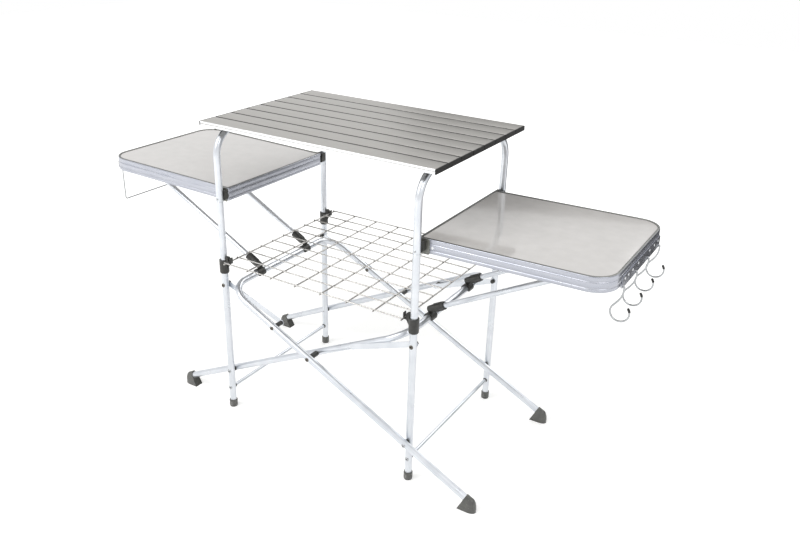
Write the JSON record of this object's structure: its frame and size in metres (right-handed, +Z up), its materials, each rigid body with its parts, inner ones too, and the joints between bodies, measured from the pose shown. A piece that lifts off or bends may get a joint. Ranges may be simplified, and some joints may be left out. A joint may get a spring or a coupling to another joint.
{
  "type": "grill table",
  "caption": "Folding camp grill table with a slatted roll top, a panel tray on struts at each end, a wire shelf, utensil hooks and a towel bail.",
  "frame": {"origin": "on the floor under the middle of the table's box", "axes": "+X along the table towards the hook end, +Y from front to back, +Z up"},
  "size_m": [1.4802, 0.506, 0.82],
  "materials": {
    "tube": "satin anodised tube and rim",
    "slats": "brushed grey anodised slats",
    "panel": "glossy light grey laminate",
    "plastic": "charcoal moulded plastic",
    "rubber": "grey rubber",
    "shelf_wire": "nickel plated wire",
    "bright_wire": "bright plated wire"
  },
  "bodies": {
    "left_legs": {"left_leg_frame": "tube", "left_foot_cap_front": "rubber", "left_foot_cap_back": "rubber", "left_shelf_clip_front": "plastic", "left_shelf_clip_back": "plastic"},
    "right_legs": {"right_leg_frame": "tube", "right_foot_cap_front": "rubber", "right_foot_cap_back": "rubber", "right_shelf_clip_front": "plastic", "right_shelf_clip_back": "plastic"},
    "frame_b": {"cross_frame_b": "tube", "shoe_b_front": "rubber", "shoe_b_back": "rubber"},
    "frame_a": {"cross_frame_a": "tube", "shoe_a_front": "rubber", "shoe_a_back": "rubber"},
    "deck": {"left_upper_frame": "tube", "right_upper_frame": "tube", "left_tray_receiver_front": "plastic", "left_tray_receiver_back": "plastic", "right_tray_receiver_front": "plastic", "right_tray_receiver_back": "plastic"},
    "shelf": {"wire_shelf": "shelf_wire"},
    "left_tray": {"left_tray_panel": "panel", "left_tray_rim": "tube"},
    "right_tray": {"right_tray_panel": "panel", "right_tray_rim": "tube", "hook_strip": "tube"},
    "bail": {"towel_bail": "bright_wire"},
    "left_front_link": {"left_link_front": "tube"},
    "left_front_button": {"left_snap_button_front": "bright_wire"},
    "left_back_link": {"left_link_back": "tube"},
    "left_back_button": {"left_snap_button_back": "bright_wire"},
    "right_front_link": {"right_link_front": "tube"},
    "right_front_button": {"right_snap_button_front": "bright_wire"},
    "right_back_link": {"right_link_back": "tube"},
    "right_back_button": {"right_snap_button_back": "bright_wire"},
    "left_back_strut": {"left_strut_back": "tube", "left_strut_socket_back": "plastic"},
    "left_front_strut": {"left_strut_front": "tube", "left_strut_socket_front": "plastic"},
    "right_front_strut": {"right_strut_front": "tube", "right_strut_socket_front": "plastic"},
    "right_back_strut": {"right_strut_back": "tube", "right_strut_socket_back": "plastic"},
    "slat_body_1": {"slat_1": "slats"},
    "slat_body_2": {"slat_2": "slats"},
    "slat_body_3": {"slat_3": "slats"},
    "slat_body_4": {"slat_4": "slats"},
    "slat_body_5": {"slat_5": "slats"},
    "slat_body_6": {"slat_6": "slats"},
    "slat_body_7": {"slat_7": "slats"},
    "slat_body_8": {"slat_8": "slats"},
    "hook_body_1": {"hook_1": "bright_wire"},
    "hook_body_2": {"hook_2": "bright_wire"},
    "hook_body_3": {"hook_3": "bright_wire"},
    "hook_body_4": {"hook_4": "bright_wire"}
  },
  "joints": [
    {"name": "frame_fold", "type": "hinge", "parent": "left_legs", "child": "frame_b", "pos_m": [-0.29895, 0, 0.1165], "axis": [0, -1, 0], "range_deg": [0, 46]},
    {"name": "centre_pivot", "type": "hinge", "parent": "frame_b", "child": "frame_a", "pos_m": [-0.00795, 0, 0.2615], "axis": [0, -1, 0], "range_deg": [-105.44, 0]},
    {"name": "right_leg_pivot", "type": "hinge", "parent": "frame_a", "child": "right_legs", "pos_m": [0.28305, 0, 0.1165], "axis": [0, -1, 0], "range_deg": [0, 46.1]},
    {"name": "deck_lift", "type": "slide", "parent": "left_legs", "child": "deck", "axis": [-0.1129, 0, 0.9936], "range_m": [0, 0.8866]},
    {"name": "left_front_link_pivot", "type": "hinge", "parent": "left_legs", "child": "left_front_link", "pos_m": [-0.29895, -0.20985, 0.3827], "axis": [0, -1, 0], "range_deg": [0, 82.42]},
    {"name": "left_front_button_press", "type": "slide", "parent": "left_legs", "child": "left_front_button", "axis": [0, 1, 0], "range_m": [0, 0.002], "stiffness_N_per_m": 300, "springref_m": -0.001},
    {"name": "left_back_link_pivot", "type": "hinge", "parent": "left_legs", "child": "left_back_link", "pos_m": [-0.29895, 0.20985, 0.3827], "axis": [0, -1, 0], "range_deg": [0, 82.42]},
    {"name": "left_back_button_press", "type": "slide", "parent": "left_legs", "child": "left_back_button", "axis": [0, -1, 0], "range_m": [0, 0.002], "stiffness_N_per_m": 300, "springref_m": -0.001},
    {"name": "right_front_link_pivot", "type": "hinge", "parent": "right_legs", "child": "right_front_link", "pos_m": [0.28305, -0.20985, 0.3827], "axis": [0, -1, 0], "range_deg": [-82.42, 0]},
    {"name": "right_front_button_press", "type": "slide", "parent": "right_legs", "child": "right_front_button", "axis": [0, 1, 0], "range_m": [0, 0.002], "stiffness_N_per_m": 300, "springref_m": -0.001},
    {"name": "right_back_link_pivot", "type": "hinge", "parent": "right_legs", "child": "right_back_link", "pos_m": [0.28305, 0.20985, 0.3827], "axis": [0, -1, 0], "range_deg": [-82.42, 0]},
    {"name": "right_back_button_press", "type": "slide", "parent": "right_legs", "child": "right_back_button", "axis": [0, -1, 0], "range_m": [0, 0.002], "stiffness_N_per_m": 300, "springref_m": -0.001},
    {"name": "left_tray_off", "type": "slide", "parent": "deck", "child": "left_tray", "axis": [-0.7399, 0, 0.6727], "range_m": [0, 0.446]},
    {"name": "left_back_strut_swing", "type": "hinge", "parent": "left_tray", "child": "left_back_strut", "pos_m": [-0.65292, 0.0795, 0.616], "axis": [0, -1, 0], "range_deg": [0, 25.8]},
    {"name": "left_front_strut_swing", "type": "hinge", "parent": "left_tray", "child": "left_front_strut", "pos_m": [-0.65292, -0.1205, 0.616], "axis": [0, -1, 0], "range_deg": [0, 25.8]},
    {"name": "right_tray_off", "type": "slide", "parent": "deck", "child": "right_tray", "axis": [0.7399, 0, 0.6727], "range_m": [0, 0.446]},
    {"name": "right_front_strut_swing", "type": "hinge", "parent": "right_tray", "child": "right_front_strut", "pos_m": [0.63702, -0.0795, 0.616], "axis": [0, 1, 0], "range_deg": [0, 25.8]},
    {"name": "right_back_strut_swing", "type": "hinge", "parent": "right_tray", "child": "right_back_strut", "pos_m": [0.63702, 0.1205, 0.616], "axis": [0, 1, 0], "range_deg": [0, 25.8]},
    {"name": "shelf_lift", "type": "slide", "parent": "deck", "child": "shelf", "axis": [0, 0, 1], "range_m": [0, 0.12]},
    {"name": "top_lift", "type": "slide", "parent": "deck", "child": "slat_body_1", "axis": [0, 0, 1], "range_m": [0, 0.1]},
    {"name": "top_roll", "type": "hinge", "parent": "slat_body_1", "child": "slat_body_2", "pos_m": [-0.00795, -0.1716, 0.82], "axis": [1, 0, 0], "range_deg": [0, 43]},
    {"name": "slat_hinge_3", "type": "hinge", "parent": "slat_body_2", "child": "slat_body_3", "pos_m": [-0.00795, -0.1144, 0.82], "axis": [1, 0, 0], "range_deg": [0, 43.1]},
    {"name": "slat_hinge_4", "type": "hinge", "parent": "slat_body_3", "child": "slat_body_4", "pos_m": [-0.00795, -0.0572, 0.82], "axis": [1, 0, 0], "range_deg": [0, 43.1]},
    {"name": "slat_hinge_5", "type": "hinge", "parent": "slat_body_4", "child": "slat_body_5", "pos_m": [-0.00795, 0, 0.82], "axis": [1, 0, 0], "range_deg": [0, 43.1]},
    {"name": "slat_hinge_6", "type": "hinge", "parent": "slat_body_5", "child": "slat_body_6", "pos_m": [-0.00795, 0.0572, 0.82], "axis": [1, 0, 0], "range_deg": [0, 43.1]},
    {"name": "slat_hinge_7", "type": "hinge", "parent": "slat_body_6", "child": "slat_body_7", "pos_m": [-0.00795, 0.1144, 0.82], "axis": [1, 0, 0], "range_deg": [0, 43.1]},
    {"name": "slat_hinge_8", "type": "hinge", "parent": "slat_body_7", "child": "slat_body_8", "pos_m": [-0.00795, 0.1716, 0.82], "axis": [1, 0, 0], "range_deg": [0, 43.1]},
    {"name": "bail_swing", "type": "hinge", "parent": "left_tray", "child": "bail", "pos_m": [-0.73506, 0, 0.61466], "axis": [0, 1, 0], "range_deg": [0, 80]},
    {"name": "hook_swing_1", "type": "hinge", "parent": "right_tray", "child": "hook_body_1", "pos_m": [0.71587, -0.121, 0.6143], "axis": [0, -1, 0], "range_deg": [0, 30]},
    {"name": "hook_swing_2", "type": "hinge", "parent": "right_tray", "child": "hook_body_2", "pos_m": [0.71587, -0.032, 0.6143], "axis": [0, -1, 0], "range_deg": [0, 30]},
    {"name": "hook_swing_3", "type": "hinge", "parent": "right_tray", "child": "hook_body_3", "pos_m": [0.71587, 0.057, 0.6143], "axis": [0, -1, 0], "range_deg": [0, 30]},
    {"name": "hook_swing_4", "type": "hinge", "parent": "right_tray", "child": "hook_body_4", "pos_m": [0.71587, 0.146, 0.6143], "axis": [0, -1, 0], "range_deg": [0, 30]}
  ],
  "couplings": [
    {"joint": "centre_pivot", "follows": "frame_fold", "ratio": -2.2899},
    {"joint": "right_leg_pivot", "follows": "frame_fold", "ratio": 1},
    {"joint": "deck_lift", "follows": "frame_fold", "m_per_rad": 1.1031},
    {"joint": "left_front_link_pivot", "follows": "frame_fold", "ratio": 1.7896},
    {"joint": "left_back_link_pivot", "follows": "frame_fold", "ratio": 1.7896},
    {"joint": "right_front_link_pivot", "follows": "frame_fold", "ratio": -1.7896},
    {"joint": "right_back_link_pivot", "follows": "frame_fold", "ratio": -1.7896},
    {"joint": "left_back_strut_swing", "follows": "left_tray_off", "rad_per_m": 1.0018},
    {"joint": "left_front_strut_swing", "follows": "left_tray_off", "rad_per_m": 1.0018},
    {"joint": "right_front_strut_swing", "follows": "right_tray_off", "rad_per_m": 1.0018},
    {"joint": "right_back_strut_swing", "follows": "right_tray_off", "rad_per_m": 1.0018},
    {"joint": "slat_hinge_3", "follows": "top_roll", "ratio": 1},
    {"joint": "slat_hinge_4", "follows": "top_roll", "ratio": 1},
    {"joint": "slat_hinge_5", "follows": "top_roll", "ratio": 1},
    {"joint": "slat_hinge_6", "follows": "top_roll", "ratio": 1},
    {"joint": "slat_hinge_7", "follows": "top_roll", "ratio": 1},
    {"joint": "slat_hinge_8", "follows": "top_roll", "ratio": 1}
  ]
}
